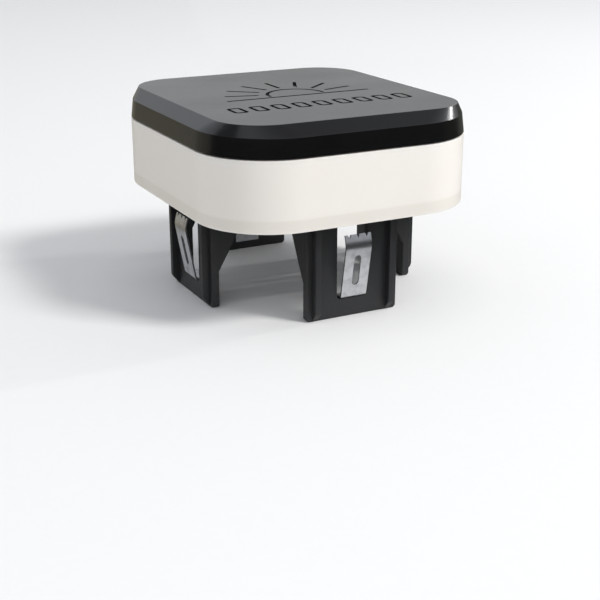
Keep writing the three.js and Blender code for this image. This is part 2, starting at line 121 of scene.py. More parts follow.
def skin(name, rings, closed=False):
    """A closed body through rings of points; with closed, the last ring joins the first."""
    bm = bmesh.new()
    levels = [[bm.verts.new(point) for point in ring] for ring in rings]
    pairs = list(zip(levels, levels[1:]))
    if closed:
        pairs.append((levels[-1], levels[0]))
    else:
        bm.faces.new(list(reversed(levels[0])))
        bm.faces.new(levels[-1])
    for low, high in pairs:
        for i in range(len(low)):
            j = (i + 1) % len(low)
            bm.faces.new((low[i], low[j], high[j], high[i]))
    return finish_mesh(bm, name)


def soften(corners, closed=False):
    """Rounds a profile's corners. A corner's last number is how far its rounding reaches, in mm."""
    points = []
    count = len(corners)
    for i, corner in enumerate(corners):
        here = Vector(corner[:-1])
        reach = corner[-1] * MM
        at_end = not closed and i in (0, count - 1)
        if reach <= 0 or at_end:
            points.append(here)
            continue
        before = Vector(corners[i - 1][:-1])
        after = Vector(corners[(i + 1) % count][:-1])
        start = here + (before - here) * min(reach / (before - here).length, LONGEST_ROUNDING)
        end = here + (after - here) * min(reach / (after - here).length, LONGEST_ROUNDING)
        for step in range(ROUNDING_STEPS + 1):
            t = step / ROUNDING_STEPS
            points.append((1 - t) ** 2 * start + 2 * t * (1 - t) * here + t ** 2 * end)
    return points


def rounded_ring(half_x, half_y, corner, z, steps=CORNER_STEPS):
    """A rounded rectangle's points at height z."""
    points = []
    for quarter in range(4):
        sign_x = 1 if quarter in (0, 3) else -1
        sign_y = 1 if quarter < 2 else -1
        for step in range(steps + 1):
            angle = (quarter + step / steps) * pi / 2
            x = sign_x * (half_x - corner) + corner * cos(angle)
            y = sign_y * (half_y - corner) + corner * sin(angle)
            points.append(Vector((x, y, z)))
    return points


def moved(ring, x, y):
    return [point + Vector((x, y, 0)) for point in ring]


def cap_body(name, corners, closed=False):
    """A body that follows the cap's outline.

    Each profile corner is (inset, z, rounding), or (inset, z, corner radius, rounding).
    """
    full = []
    for corner in corners:
        inset, z = corner[0], corner[1]
        radius = corner[2] if len(corner) == 4 else CORNER - inset
        full.append((inset, z, radius, corner[-1]))
    profile = soften(full, closed)
    rings = [rounded_ring(HALF_X - p[0], HALF_Y - p[0], p[2], p[1]) for p in profile]
    return skin(name, rings, closed)


def soft_slab(name, half_x, half_y, corner, low, high, edge=0.25, x=0.0, y=0.0, steps=8):
    """A rounded-rectangle slab with softened top and bottom edges."""
    inwards = 2 * edge * MM
    profile = soften([(inwards, low, 0), (0, low, edge), (0, high, edge), (inwards, high, 0)])
    rings = []
    for inset, z in profile:
        radius = max(corner - inset, SMALLEST_CORNER)
        rings.append(moved(rounded_ring(half_x - inset, half_y - inset, radius, z, steps), x, y))
    return skin(name, rings)


def turning(name, corners, x=0.0, y=0.0, sides=ROUND_SIDES, closed=False):
    """A body turned about an upright axis from profile corners (radius, z, rounding)."""
    rings = []
    for radius, z in soften(corners, closed):
        angles = [2 * pi * i / sides for i in range(sides)]
        rings.append([Vector((x + radius * cos(a), y + radius * sin(a), z)) for a in angles])
    return skin(name, rings, closed)


def rod(name, radius, low, high, x=0.0, y=0.0, low_edge=0.0, high_edge=0.0, sides=ROUND_SIDES):
    """An upright round bar whose ends may be softened."""
    corners = [(0, low, 0), (radius, low, low_edge), (radius, high, high_edge), (0, high, 0)]
    return turning(name, corners, x, y, sides)


def upright_prism(name, outline, width, y=0.0):
    """An outline of (x, z) points given a width along Y."""
    sides = (y - width / 2, y + width / 2)
    return skin(name, [[Vector((x, side, z)) for x, z in outline] for side in sides])


def travel(points):
    """The direction in which an open line runs at each of its points."""
    last = len(points) - 1
    return [(points[min(i + 1, last)] - points[max(i - 1, 0)]).normalized() for i in range(last + 1)]


def beside(points, along, distance):
    """A line's points moved sideways, to the left for a positive distance."""
    return [p + distance * Vector((-d.y, d.x)) for p, d in zip(points, along)]


def end_cap(point, outwards, half, steps=6):
    """The half circle round a ribbon's end, without its two end points."""
    start = atan2(outwards.y, outwards.x) + pi / 2
    angles = [start - pi * i / steps for i in range(1, steps)]
    return [point + half * Vector((cos(a), sin(a))) for a in angles]


def ribbon(name, line, levels):
    """A round-ended bar along an open line of (x, y) points. Levels are (z, half width), lowest first."""
    points = [Vector(point) for point in line]
    along = travel(points)
    rings = []
    for z, half in levels:
        ring = beside(points, along, half) + end_cap(points[-1], along[-1], half)
        ring += beside(points, along, -half)[::-1] + end_cap(points[0], -along[0], half)
        rings.append([Vector((p.x, p.y, z)) for p in ring])
    return skin(name, rings)


def bake(obj):
    """Applies an object's modifiers to its mesh."""
    bpy.context.view_layer.update()
    evaluated = obj.evaluated_get(bpy.context.evaluated_depsgraph_get())
    mesh = bpy.data.meshes.new_from_object(evaluated)
    obj.modifiers.clear()
    obj.data = mesh
    return obj


def combine(body, tool, operation):
    """Joins, cuts or intersects body with tool, and removes tool."""
    modifier = body.modifiers.new("combine", "BOOLEAN")
    modifier.operation = operation
    modifier.solver = "MANIFOLD"
    modifier.object = tool
    bake(body)
    bpy.data.objects.remove(tool)
    return body


def join(body, *tools):
    for tool in tools:
        combine(body, tool, "UNION")
    return body


def cut(body, *tools):
    for tool in tools:
        combine(body, tool, "DIFFERENCE")
    return body


def drill(body, radius, low, high, x, y):
    return cut(body, rod("hole", radius, low, high, x, y))


def place(obj, turn):
    """Turns a mesh about Z by degrees."""
    obj.data.transform(Matrix.Rotation(radians(turn), 4, "Z"))
    return obj


def stand(obj, x, z):
    """Stands a lying slab across X: its length along X turns to Y, and its length along Y turns to Z."""
    obj.data.transform(Matrix(((0, 0, 1, x), (1, 0, 0, 0), (0, 1, 0, z), (0, 0, 0, 1))))
    return obj


def quarters(point):
    x, y = point
    return [(x, y), (-x, y), (-x, -y), (x, -y)]


def cross(body, long, short, corner, low, high, edge, x, y):
    """Cuts a cross-shaped recess whose arms are long and short by half."""
    for half_x, half_y in ((long, short), (short, long)):
        cut(body, soft_slab("slot", half_x, half_y, corner, low, high, edge, x, y, 2))


def weld(obj):
    """Welds a mesh that cuts and joins have made, unless that would open it."""
    bm = bmesh.new()
    bm.from_mesh(obj.data)
    weld_points(bm)
    if all(edge.is_manifold for edge in bm.edges):
        bm.to_mesh(obj.data)
    bm.free()


def smooth(obj, bevel=0.0):
    """Softens hard edges by a small bevel if asked, and shades by angle with flats kept flat."""
    weld(obj)
    if bevel:
        modifier = obj.modifiers.new("bevel", "BEVEL")
        modifier.width = bevel * MM
        modifier.segments = 2
        modifier.limit_method = "ANGLE"
        modifier.angle_limit = SHARP_ANGLE
        modifier.use_clamp_overlap = True
        weld(bake(obj))
    bm = bmesh.new()
    bm.from_mesh(obj.data)
    for face in bm.faces:
        face.smooth = True
    for edge in bm.edges:
        edge.smooth = len(edge.link_faces) == 2 and edge.calc_face_angle(0) < SHARP_ANGLE
    bm.to_mesh(obj.data)
    bm.free()
    modifier = obj.modifiers.new("weighted", "WEIGHTED_NORMAL")
    modifier.keep_sharp = True
    modifier.weight = 80
    return bake(obj)


def piece(obj, slot, material, *nodes, body="base", bevel=0.0):
    """Finishes a piece: shading, material, the body it rides on and the CAD nodes it stands for. The slot
    argument is not used.
    """
    smooth(obj, bevel)
    obj.data.materials.clear()
    obj.data.materials.append(material)
    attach(obj, body)
    if nodes:
        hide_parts(*nodes)


def extent(node):
    """A node's lowest and highest corners, and the x and y of its centre."""
    low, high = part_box(node)
    centre = (low + high) / 2
    return low, high, centre.x, centre.y


# ---- material helpers

NOISE_LOW, NOISE_HIGH = 0.3, 0.7  # nearly all of a noise texture's values lie between these


def add_node(tree, kind, inputs, **settings):
    """Adds a shader node and returns its outputs. Each input is a constant or another node's output."""
    node = tree.nodes.new("ShaderNode" + kind)
    for name, value in settings.items():
        setattr(node, name, value)
    for socket, value in inputs.items():
        if isinstance(value, bpy.types.NodeSocket):
            tree.links.new(value, node.inputs[socket])
        else:
            node.inputs[socket].default_value = value
    return node.outputs


def map_range(tree, source, low, high, to_low=0.0, to_high=1.0):
    """Maps a value from one range to another, held at both ends."""
    return add_node(tree, "MapRange", {"Value": source, "From Min": low, "From Max": high,
                                       "To Min": to_low, "To Max": to_high})["Result"]


def color_ramp(tree, source, stops):
    """Colours at places along source: stops are (place, colour)."""
    color = add_node(tree, "ValToRGB", {"Fac": source})["Color"]
    elements = color.node.color_ramp.elements
    while len(elements) < len(stops):
        elements.new(0.5)
    for element, (position, shade) in zip(elements, stops):
        element.position = position
        element.color = (*shade, 1)
    return color


class Surface:
    """A Principled material whose colour, roughness and bump are worked out from the place on the piece."""

    def __init__(self, name, color, roughness, metallic=0.0, **sockets):
        self.material = bpy.data.materials.new(name)
        self.material.use_nodes = True
        self.tree = self.material.node_tree
        self.shader = self.tree.nodes["Principled BSDF"]
        self.coordinates = self.tree.nodes.new("ShaderNodeTexCoord").outputs["Object"]
        self.normal = None
        self.set("Base Color", (*color, 1))
        self.set("Roughness", roughness)
        self.set("Metallic", metallic)
        for socket, value in sockets.items():
            self.set(socket.replace("_", " "), value)

    def set(self, socket, value):
        self.shader.inputs[socket].default_value = value

    def add(self, kind, inputs, **settings):
        return add_node(self.tree, kind, inputs, **settings)

    def noise(self, size, detail=4.0, stretch=(1, 1, 1), rough=0.55):
        """Cloudy noise whose blobs are about size metres across; stretch lengthens them along an axis."""
        place = self.add("Mapping", {"Vector": self.coordinates, "Scale": [1 / s for s in stretch]})["Vector"]
        return self.add("TexNoise", {"Vector": place, "Scale": 1 / size, "Detail": detail,
                                     "Roughness": rough})["Fac"]

    def cells(self, size):
        return self.add("TexVoronoi", {"Vector": self.coordinates, "Scale": 1 / size})["Distance"]

    def height(self):
        return self.add("SeparateXYZ", {"Vector": self.coordinates})["Z"]

    def remap(self, source, low, high, to_low=0.0, to_high=1.0):
        return map_range(self.tree, source, low, high, to_low, to_high)

    def mix(self, factor, first, second):
        """Mixes two colours or values; each may be a constant or another node's output."""
        first, second = ((*color, 1) if isinstance(color, tuple) else color for color in (first, second))
        return self.add("Mix", {0: factor, 6: first, 7: second}, data_type="RGBA")[2]

    def drive(self, socket, output):
        self.tree.links.new(output, self.shader.inputs[socket])
        return self

    def color_from(self, output):
        return self.drive("Base Color", output)

    def roughness_from(self, source, low, high):
        return self.drive("Roughness", self.remap(source, NOISE_LOW, NOISE_HIGH, low, high))

    def bump(self, source, depth, strength=1.0):
        """Adds relief of depth metres; calls stack up."""
        below = {} if self.normal is None else {"Normal": self.normal}
        self.normal = self.add("Bump", {"Strength": strength, "Distance": depth, "Height": source,
                                        **below})["Normal"]
        return self.drive("Normal", self.normal)


# ---- materials

def lid_plastic():
    s = Surface("lid_plastic", (0.0040, 0.0040, 0.0042), 0.2, IOR=1.5)
    clouds = s.noise(22 * MM, 5, (1.6, 1, 1))
    grain = s.noise(0.35 * MM, 3)
    s.color_from(s.mix(clouds, (0.0032, 0.0032, 0.0033), (0.0050, 0.0050, 0.0052)))
    s.roughness_from(s.mix(0.35, clouds, grain), 0.17, 0.27)
    return s.bump(grain, 0.012 * MM, 0.5).bump(s.noise(9 * MM, 2), 0.02 * MM, 0.4).material


def opal_plastic():
    """Opal plastic with light and shade painted into its colour by height: painted shade over its skirt, a
    painted highlight at its lower edge and a painted light line just under the lid.
    """
    body = (0.79, 0.75, 0.695)
    s = Surface("opal_plastic", body, 0.28, IOR=1.49, Subsurface_Weight=0.4,
                Subsurface_Radius=(1.0, 0.93, 0.84), Subsurface_Scale=2.2 * MM)
    skirt = -RING_LOW.z / (RING_TOP - RING_LOW.z)
    # These stops paint light and shade, not a tint of the plastic: painted shade over the skirt, a painted
    # highlight along the lower rounded edge and a painted light line just under the lid.
    tone = color_ramp(s.tree, s.remap(s.height(), RING_LOW.z, RING_TOP), [
        (0.0, (0.82, 0.785, 0.725)), (0.03, (0.72, 0.68, 0.62)), (skirt - 0.02, (0.715, 0.675, 0.61)),
        (skirt + 0.015, body), (0.9, body), (0.935, (0.80, 0.76, 0.705)), (0.965, body), (1.0, body),
    ])
    clouds = s.noise(26 * MM, 1.5)
    s.color_from(s.mix(s.remap(clouds, 0.1, 0.9, 0, 0.35), tone, (0.85, 0.82, 0.77)))
    s.roughness_from(s.noise(9 * MM, 2), 0.285, 0.33)
    return s.bump(s.noise(0.5 * MM, 3), 0.006 * MM, 0.5).bump(s.noise(12 * MM, 1), 0.03 * MM, 0.3).material


def moulded(name, dark, light, roughness, grain=0.28 * MM, depth=0.02 * MM):
    """Moulded plastic with a fine spark-eroded texture and faint flow clouds."""
    s = Surface(name, light, roughness, IOR=1.5)
    clouds = s.noise(11 * MM, 4)
    fine = s.noise(grain, 3)
    s.color_from(s.mix(clouds, dark, light))
    s.roughness_from(s.mix(0.5, clouds, fine), roughness - 0.06, roughness + 0.1)
    return s.bump(fine, depth, 0.7).bump(s.cells(grain * 1.6), depth * 0.5, 0.4).material


def rubber():
    """Black rubber with a thin film of dust in patches."""
    s = Surface("rubber", (0.022, 0.022, 0.023), 0.75, IOR=1.52)
    fine = s.noise(0.18 * MM, 4)
    dust = s.noise(3 * MM, 5)
    s.color_from(s.mix(s.remap(dust, 0.45, 0.75), (0.018, 0.018, 0.019), (0.055, 0.054, 0.052)))
    return s.roughness_from(dust, 0.66, 0.86).bump(fine, 0.015 * MM, 0.8).material


def rolled_steel():
    """Spring strip: fine rolling lines down its length and a few darker flecks."""
    s = Surface("rolled_steel", (0.60, 0.61, 0.63), 0.3, 1.0)
    lines = s.noise(0.22 * MM, 3, (1, 1, 40))
    flecks = s.noise(2.2 * MM, 5)
    s.color_from(s.mix(s.remap(flecks, 0.45, 0.8), (0.62, 0.63, 0.65), (0.42, 0.42, 0.43)))
    return s.roughness_from(s.mix(0.5, lines, flecks), 0.29, 0.42).bump(lines, 0.008 * MM, 0.6).material


def zinc():
    s = Surface("zinc_plate", (0.66, 0.67, 0.68), 0.3, 1.0)
    spangle = s.noise(0.8 * MM, 4)
    s.color_from(s.mix(spangle, (0.52, 0.53, 0.55), (0.74, 0.74, 0.73)))
    return s.roughness_from(spangle, 0.29, 0.45).bump(s.noise(0.12 * MM, 2), 0.006 * MM, 0.6).material


def bright_metal(name, dark, light):
    s = Surface(name, light, 0.28, 1.0)
    spangle = s.noise(0.5 * MM, 4)
    s.color_from(s.mix(spangle, dark, light))
    return s.roughness_from(spangle, 0.29, 0.42).bump(s.noise(0.15 * MM, 2), 0.005 * MM, 0.5).material


def reflector_white():
    s = Surface("reflector_white", (0.90, 0.90, 0.885), 0.32, IOR=1.5)
    clouds = s.noise(10 * MM, 4)
    s.color_from(s.mix(clouds, (0.86, 0.86, 0.845), (0.93, 0.93, 0.92)))
    return s.roughness_from(clouds, 0.29, 0.4).bump(s.noise(0.4 * MM, 3), 0.008 * MM, 0.5).material


def solder_mask(name, dark, light):
    """White board lacquer, a little tinted by what lies under it, with the glass weave faintly raised."""
    s = Surface(name, light, 0.35, IOR=1.5)
    s.color_from(s.mix(s.noise(4 * MM, 4), dark, light))
    s.roughness_from(s.noise(5 * MM, 4), 0.29, 0.42)
    return s.bump(s.noise(0.5 * MM, 2), 0.01 * MM, 0.5).bump(s.noise(0.12 * MM, 2), 0.004 * MM, 0.4).material


def phosphor():
    s = Surface("phosphor", (0.80, 0.60, 0.13), 0.35, IOR=1.45, Subsurface_Weight=0.3,
                Subsurface_Scale=0.3 * MM)
    grains = s.noise(0.12 * MM, 3)
    s.color_from(s.mix(grains, (0.72, 0.50, 0.08), (0.90, 0.74, 0.25)))
    return s.roughness_from(grains, 0.29, 0.45).bump(grains, 0.006 * MM, 0.5).material


def floor_paper():
    s = Surface("floor_paper", (0.89, 0.88, 0.865), 0.9)
    fibres = s.noise(3 * MM, 5)
    s.color_from(s.mix(fibres, (0.88, 0.87, 0.853), (0.90, 0.89, 0.875)))
    return s.bump(fibres, 0.02 * MM, 0.3).material


BLACK = lid_plastic()
OPAL = opal_plastic()
CARRIER_GREY = moulded("carrier_plastic", (0.012, 0.0125, 0.0135), (0.022, 0.0225, 0.024), 0.5)
COMPONENT_BLACK = moulded("component_plastic", (0.010, 0.010, 0.011), (0.020, 0.020, 0.021), 0.48, 0.12 * MM)
GLAND_BLACK = moulded("gland_plastic", (0.009, 0.009, 0.010), (0.017, 0.017, 0.019), 0.4, 0.2 * MM, 0.01 * MM)
TERMINAL_GREEN = moulded("terminal_plastic", (0.012, 0.085, 0.035), (0.022, 0.125, 0.055), 0.45, 0.2 * MM)
HOUSING_WHITE = moulded("led_housing", (0.80, 0.80, 0.77), (0.88, 0.88, 0.86), 0.4, 0.1 * MM, 0.004 * MM)
RUBBER = rubber()
STEEL = rolled_steel()
ZINC = zinc()
WHITE = reflector_white()
MASK = solder_mask("solder_mask", (0.66, 0.69, 0.63), (0.72, 0.75, 0.70))
COPPER_MASK = solder_mask("solder_mask_on_copper", (0.80, 0.81, 0.77), (0.86, 0.86, 0.83))
PHOSPHOR = phosphor()
TIN = bright_metal("tin", (0.62, 0.62, 0.60), (0.80, 0.80, 0.78))
CAN = bright_metal("capacitor_can", (0.60, 0.61, 0.63), (0.74, 0.75, 0.77))


# ---- lid

LID_WALL = 2.5 * MM
LID_CHAMFER_HEIGHT = 3.5 * MM
LID_DRAFT = 0.64 * MM
LID_TOP_INSET = 4.3 * MM
LID_TOP_CORNER = 14.9 * MM
LIP_DEPTH = 3 * MM
LIP_WALL = 2 * MM
ROOF_RIB = mm(half_width=0.6, depth=2.5)
PEG_TIP = 1.1 * MM  # a peg's radius at its tip
PEG_RADIUS = 1.8 * MM
PEG_ROOT = mm(radius=3, length=4)

CHANNEL_DEPTH = 0.8 * MM
CHANNEL_FLOOR = 0.45 * MM  # half the width of a groove at its floor
CHANNEL_MOUTH = 0.58 * MM  # and at its mouth
CHANNEL_LIP = 0.68 * MM  # and above its softened edge
CHANNEL_LEVELS = [
    (LID_TOP - CHANNEL_DEPTH, CHANNEL_FLOOR), (LID_TOP - 0.06 * MM, CHANNEL_MOUTH),
    (LID_TOP + 0.04 * MM, CHANNEL_LIP), (LID_TOP + 0.5 * MM, CHANNEL_LIP),
]
SUN = Table(y=-3 * MM, radius=9.5 * MM, arc_steps=28, horizon=50 * MM, horizon_drop=2.2 * MM)
RAYS = Table(count=7, start=13 * MM, end=23 * MM, first_angle=15, spread=150)
FRIEZE = Table(marks=9, pitch=7.2 * MM, half_x=2.4 * MM, half_y=4 * MM, corner=0.9 * MM, y=-20.5 * MM)


def groove(line):
    """A cutter with leaning walls that follows an open line of (x, y) points."""
    return ribbon("groove", line, CHANNEL_LEVELS)


def frame_groove(x):
    """A cutter for one plain rounded frame of the frieze."""
    half_x, half_y = FRIEZE.half_x - CHANNEL_MOUTH, FRIEZE.half_y - CHANNEL_MOUTH
    profile = [(half, z) for z, half in CHANNEL_LEVELS] + [(-half, z) for z, half in reversed(CHANNEL_LEVELS)]
    rings = []
    for half, z in profile:
        ring = rounded_ring(half_x + half, half_y + half, FRIEZE.corner + half, z, 4)
        rings.append(moved(ring, x, FRIEZE.y))
    return skin("frame", rings, closed=True)


def ornament_cutters():
    """A half sun over a line, above a row of plain frames."""
    def from_sun(radius, angle):
        return radius * cos(angle), SUN.y + radius * sin(angle)

    arc = [pi * i / SUN.arc_steps for i in range(SUN.arc_steps + 1)]
    cutters = [groove([from_sun(SUN.radius, angle) for angle in arc])]
    horizon_y = SUN.y - SUN.horizon_drop
    cutters.append(groove([(-SUN.horizon / 2, horizon_y), (SUN.horizon / 2, horizon_y)]))
    for i in range(RAYS.count):
        angle = radians(RAYS.first_angle + RAYS.spread * i / (RAYS.count - 1))
        cutters.append(groove([from_sun(RAYS.start, angle), from_sun(RAYS.end, angle)]))
    for i in range(FRIEZE.marks):
        cutters.append(frame_groove((i - (FRIEZE.marks - 1) / 2) * FRIEZE.pitch))
    return cutters


def make_lid():
    shoulder = LID_TOP - LID_CHAMFER_HEIGHT
    roof = LID_TOP - LID_WALL
    lip = RING_WALL + GAP
    lip_bottom = LID_BOTTOM - LIP_DEPTH
    hollow = lip + LIP_WALL
    inwards = 1.5 * MM
    body = cap_body("lid_shell", [
        (hollow, roof, 0), (hollow, lip_bottom, 0.3), (lip, lip_bottom, 0.5), (lip, LID_BOTTOM, 0.2),
        (0, LID_BOTTOM, CORNER, 0.35),
        (LID_DRAFT, shoulder, CORNER - LID_DRAFT / 2, 0.13),
        (LID_TOP_INSET, LID_TOP, LID_TOP_CORNER, 0.35),
        (LID_TOP_INSET + inwards, LID_TOP, LID_TOP_CORNER - inwards, 0),
    ])
    for y in (-PEG[1], PEG[1]):
        join(body, soft_slab("rib", PEG[0], ROOF_RIB.half_width, 0.3 * MM, roof - ROOF_RIB.depth,
                             roof + OVERRUN, 0.15, 0, y))
    root_bottom = roof - PEG_ROOT.length
    for x, y in quarters(PEG):
        join(body, turning("peg", [
            (0, LID_LOW.z, 0), (PEG_TIP, LID_LOW.z, 0.2), (PEG_RADIUS, LID_LOW.z + 1 * MM, 0.3),
            (PEG_RADIUS, root_bottom, 0.4), (PEG_ROOT.radius, root_bottom, 0.4),
            (PEG_ROOT.radius, roof + OVERRUN, 0), (0, roof + OVERRUN, 0),
        ], x, y))
    cut(body, *ornament_cutters())
    piece(body, "lid_black", BLACK, "lid", body="lid")


# ---- diffuser and gasket

LEDGE_WIDTH = 4.6 * MM
LEDGE_TAB = 4.2 * MM  # radius of the tab round each screw
REBATE = mm(width=1.4, depth=1.7)
GASKET_WIDTH = 1.1 * MM


def make_ring():
    rebate, rebate_floor = REBATE.width, RING_TOP - REBATE.depth
    ledge = RING_WALL + LEDGE_WIDTH
    body = cap_body("opal_ring", [
        (0, RING_LOW.z, 0.5), (0, RING_TOP, 0.35), (rebate, RING_TOP, 0.15),
        (rebate, rebate_floor, 0.1), (RING_WALL, rebate_floor, 0.3),
        (RING_WALL, LEDGE_TOP, 0.6), (ledge, LEDGE_TOP, 0.4),
        (ledge, LEDGE_BOTTOM, 0.4), (RING_WALL, LEDGE_BOTTOM, 0.2), (RING_WALL, RING_LOW.z, 0.4),
    ], closed=True)
    for x, y in quarters(LEDGE_SCREW):
        join(body, rod("tab", LEDGE_TAB, LEDGE_BOTTOM, LEDGE_TOP, x, y, 0.3, 0.4))
        drill(body, CLEARANCE_RADIUS, LEDGE_BOTTOM - OVERRUN, LEDGE_TOP + OVERRUN, x, y)
    piece(body, "opal", OPAL, "diffuser")


def make_gasket():
    low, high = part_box("lid_gasket")
    outer = HALF_X - high.x
    inner = outer + GASKET_WIDTH
    body = cap_body("lid_gasket_ring", [
        (outer, low.z, 0.4), (outer, high.z, 0.45),
        (inner, high.z, 0.45), (inner, low.z, 0.4),
    ], closed=True)
    piece(body, "gasket_rubber", RUBBER, "lid_gasket")


# ---- carrier with its four legs

SIDES = [("right", 0), ("back", 90), ("left", 180), ("front", 270)]
UNDERSIDE_RELIEF = 0.6 * MM
SEAT_BAND = 4 * MM
DATUM_PAD = 4 * MM  # radius of the pad at the origin
LEG = mm(thickness=2.6, half_width=16, top=1.5, corner=1.2)
WINDOW = mm(half_y=5.5, half_z=12.5, corner=1.5, z=-17.5)
RIB = mm(height=2.3, width=2, y=13, foot=0.4)
LEG_ROOT = 0.6 * MM  # how far ribs and gussets are sunk into the leg
GUSSET = mm(width=1.9, y=15)
GUSSET_LINE = [(12, 1), (12, 0), (9, -7.5), (4, -17), (0, -24)]  # mm inwards of the leg, mm up
BOSS = mm(radius=3, bottom=-6, bore_bottom=-5)
STANDOFF = mm(radius=3.4, bottom=-2, bore_bottom=-1)
SOCKET = mm(radius=4.3, bore=3.3, bore_bottom=7)
GLAND_HOLE = 6.15 * MM
BORE_TOP = 10 * MM  # above every face that a bore in the plate has to pass
CLIP_BULGE = 1.8 * MM


def leg_reach(name):
    """How far a side's locating ribs stand out, from the retaining clip that hangs on that leg."""
    low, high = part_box(f"retaining_clip_{name}")
    return max(abs(value) for value in (low.x, high.x, low.y, high.y)) - CLIP_BULGE


def make_leg(reach):
    """One leg on the +X side, with its window, two locating ribs and two gussets."""
    outer = reach - RIB.height
    inner = outer - LEG.thickness
    middle = (outer + inner) / 2
    low, top = CARRIER_LOW.z, LEG.top
    half = LEG.thickness / 2
    body = soft_slab("leg", LEG.half_width, (top - low) / 2, LEG.corner, -half, half, 0.35)
    stand(body, middle, (low + top) / 2)
    window = soft_slab("window", WINDOW.half_y, WINDOW.half_z, WINDOW.corner, -3 * MM, 3 * MM, 0.1)
    cut(body, stand(window, middle, WINDOW.z))
    root, foot, rib_top = outer - LEG_ROOT, low + RIB.foot, 1 * MM
    rib_line = [(root, foot), (outer, foot), (reach - 0.5 * MM, foot + 2 * MM), (reach, foot + 3 * MM),
                (reach, rib_top), (root, rib_top)]
    gusset_line = [(inner - inwards * MM, up * MM) for inwards, up in GUSSET_LINE]
    sunk = inner + LEG_ROOT
    gusset_line = [(sunk, gusset_line[0][1]), *gusset_line, (sunk, gusset_line[-1][1])]
    for side in (-1, 1):
        rib = upright_prism("rib", rib_line, RIB.width, side * RIB.y)
        gusset = upright_prism("gusset", gusset_line, GUSSET.width, side * GUSSET.y)
        join(body, smooth(rib, 0.25), smooth(gusset, 0.25))
    return body


def make_carrier():
    edge = RING_WALL + GAP
    body = cap_body("carrier_frame", [
        (edge + SEAT_BAND, UNDERSIDE_RELIEF, 0), (edge + SEAT_BAND, 0, 0.3), (edge, 0, 0.4),
        (edge, PLATE_TOP, 0.4), (edge + 2 * MM, PLATE_TOP, 0),
    ])
    join(body, rod("pad", DATUM_PAD, 0, OVERRUN, low_edge=0.3))
    for name, turn in SIDES:
        join(body, place(make_leg(leg_reach(name)), turn))
    for x, y in quarters(LEDGE_SCREW):
        join(body, rod("boss", BOSS.radius, BOSS.bottom, OVERRUN, x, y, 0.4))
        drill(body, PILOT_RADIUS, BOSS.bore_bottom, BORE_TOP, x, y)
    top = BOARD_LOW.z - GAP
    for x, y in quarters(BOARD_SCREW):
        join(body, rod("standoff", STANDOFF.radius, STANDOFF.bottom, top, x, y, 0.3, 0.3))
        drill(body, PILOT_RADIUS, STANDOFF.bore_bottom, top + OVERRUN, x, y)
    top = CARRIER_HIGH.z
    for x, y in quarters(PEG):
        join(body, rod("socket", SOCKET.radius, PLATE_TOP - 2 * OVERRUN, top, x, y, high_edge=0.3))
        drill(body, SOCKET.bore, SOCKET.bore_bottom, top + OVERRUN, x, y)
    drill(body, GLAND_HOLE, -3 * MM, BORE_TOP, 0, CABLE_Y)
    piece(body, "carrier_grey", CARRIER_GREY, "carrier")


CLIP = mm(width=9, half_thickness=0.3, hook=3.4)
CLIP_LINE = [  # mm outwards of the leg's reach, mm above the hook, rounding in mm
    (-5.9, -3.4, 0), (-5.9, 0, 0.9), (-1.7, 0, 0.7), (1.5, 17.4, 1.4), (0.5, 20.7, 0),
]
NOTCH = mm(pitch=3, half_width=0.9, top=21.5, bottom=19.6)
CLIP_SLOT = mm(half_y=1.2, half_z=5, corner=1.19, z=9)
CLIP_CUT = 4 * MM  # how far cutters reach to each side of a clip


def make_clip(name, turn):
    """A spring strip hooked over the lower edge of the leg's window, with a toothed tip."""
    node = f"retaining_clip_{name}"
    reach = leg_reach(name)
    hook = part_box(node)[0].z + CLIP.hook
    line = soften([(reach + out * MM, hook + up * MM, edge) for out, up, edge in CLIP_LINE])
    along = travel(line)
    half = CLIP.half_thickness
    outline = beside(line, along, half) + beside(line, along, -half)[::-1]
    strip = upright_prism(f"clip_{name}", outline, CLIP.width)
    top, bottom, half_width = hook + NOTCH.top, hook + NOTCH.bottom, NOTCH.half_width
    for i in range(-1, 2):
        y = i * NOTCH.pitch
        corners = [(y - half_width, top), (y + half_width, top), (y, bottom)]
        ends = (reach - CLIP_CUT, reach + CLIP_CUT)
        cut(strip, skin("notch", [[Vector((x, *corner)) for corner in corners] for x in ends]))
    slot = soft_slab("slot", CLIP_SLOT.half_y, CLIP_SLOT.half_z, CLIP_SLOT.corner,
                     -CLIP_CUT, CLIP_CUT, 0.01)
    cut(strip, stand(slot, reach, hook + CLIP_SLOT.z))
    piece(place(strip, turn), "spring_steel", STEEL, node, body=f"clip_{name}", bevel=0.08)


# ---- screws and bushes

THREAD = Table(sides=24, steps=8, root=0.35, length=1.6 * MM, crest=1.35)
SCREW = mm(head_height=1.8, neck=1.05, shaft=1.3)
RECESS = mm(long=1.6, short=0.4, corner=0.12, depth=1)
BUSH = mm(bore=2.1, waist=2.85, rib=3, collar=3.9, collar_height=1)
BUSH_RIBS = Table(count=3, first=1.4, pitch=2.1)  # in mm


def threaded_shaft(radius, low, high, x, y, pitch=1.0 * MM, depth=0.28 * MM):
    """A screw's shaft whose thread winds up it, pointed at the lower end."""
    sides = THREAD.sides
    count = int((high - low) / pitch * THREAD.steps)
    rings = []
    for level in range(count + 1):
        z = low + (high - low) * level / count
        taper = min(1, THREAD.root + (1 - THREAD.root) * (z - low) / THREAD.length)
        ring = []
        for i in range(sides):
            phase = (z / pitch - i / sides) % 1
            crest = 1 - abs(2 * phase - 1)
            r = (radius - depth * (1 - min(1, THREAD.crest * crest))) * taper
            angle = 2 * pi * i / sides
            ring.append(Vector((x + r * cos(angle), y + r * sin(angle), z)))
        rings.append(ring)
    return skin("shaft", rings)


